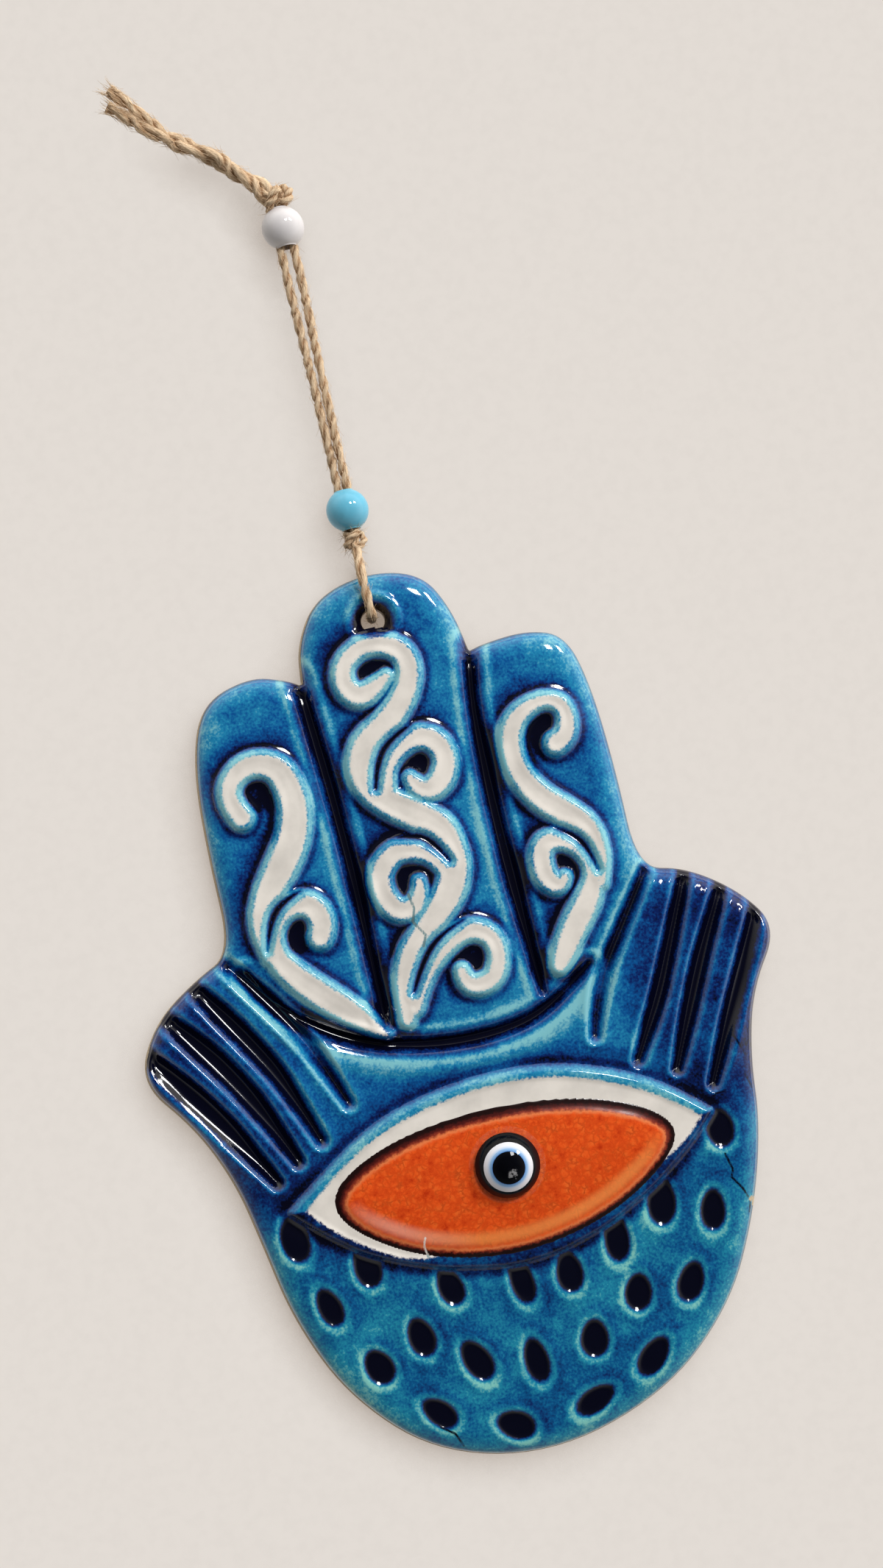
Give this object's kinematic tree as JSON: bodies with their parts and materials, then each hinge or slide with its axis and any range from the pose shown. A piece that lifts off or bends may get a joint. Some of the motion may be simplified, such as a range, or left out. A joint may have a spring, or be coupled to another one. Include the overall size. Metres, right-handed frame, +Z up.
{
  "type": "hamsa hand wall ornament",
  "caption": "Glazed pottery hand with raised scrolls and an eye, hung on jute string with sliding glass beads.",
  "frame": {"origin": "the hanging point, between the two strands of string just under the white bead", "axes": "+Z up along the string, +X to the viewer's right, the decorated front faces -Y"},
  "size_m": [0.1203, 0.0142, 0.2649],
  "materials": {
    "blue_glaze": "glossy mottled blue and turquoise glaze",
    "white_slip": "satin white slip",
    "orange_glaze": "glossy orange glaze",
    "clear_glue": "clear set glue",
    "dark_glass": "glossy opaque glass",
    "white_glass": "glossy opaque glass",
    "pale_blue_glass": "glossy opaque glass",
    "turquoise_glass": "glossy opaque glass",
    "jute": "rough two-ply jute string"
  },
  "bodies": {
    "cord": {"upper_knot": "jute", "cord_strand_left": "jute", "cord_strand_right": "jute", "cord_tail_left": "jute", "cord_tail_right": "jute"},
    "lower_knot": {"lower_knot": "jute"},
    "hole_loop": {"cord_hole_loop": "jute"},
    "hand": {"hand_plaque": "blue_glaze", "white_scroll_left": "white_slip", "white_scroll_middle": "white_slip", "white_scroll_right": "white_slip", "eye_white_almond": "white_slip", "eye_orange_iris": "orange_glaze", "eye_glue_bed": "clear_glue", "glass_eye_base": "dark_glass", "glass_eye_white_ring": "white_glass", "glass_eye_blue_ring": "pale_blue_glass", "glass_eye_pupil": "dark_glass"},
    "turquoise_bead": {"turquoise_bead": "turquoise_glass"},
    "white_bead": {"white_bead": "white_glass"}
  },
  "joints": [
    {"name": "hand_twist", "type": "hinge", "parent": "cord", "child": "lower_knot", "pos_m": [0, 0, -0.05742], "axis": [0, 0, 1], "range_deg": [-180, 180], "stiffness_Nm_per_rad": 0.0003},
    {"name": "hand_tilt", "type": "hinge", "parent": "lower_knot", "child": "hole_loop", "pos_m": [0, 0, -0.05742], "axis": [-1, 0, 0], "range_deg": [-10, 75]},
    {"name": "hand_swing", "type": "hinge", "parent": "hole_loop", "child": "hand", "pos_m": [0, 0, -0.0733], "axis": [0, 1, 0], "range_deg": [-20, 20]},
    {"name": "turquoise_bead_slide", "type": "slide", "parent": "cord", "child": "turquoise_bead", "axis": [0, 0, 1], "range_m": [0, 0.022]},
    {"name": "white_bead_slide", "type": "slide", "parent": "cord", "child": "white_bead", "axis": [0, 0, -1], "range_m": [0, 0.022]}
  ]
}
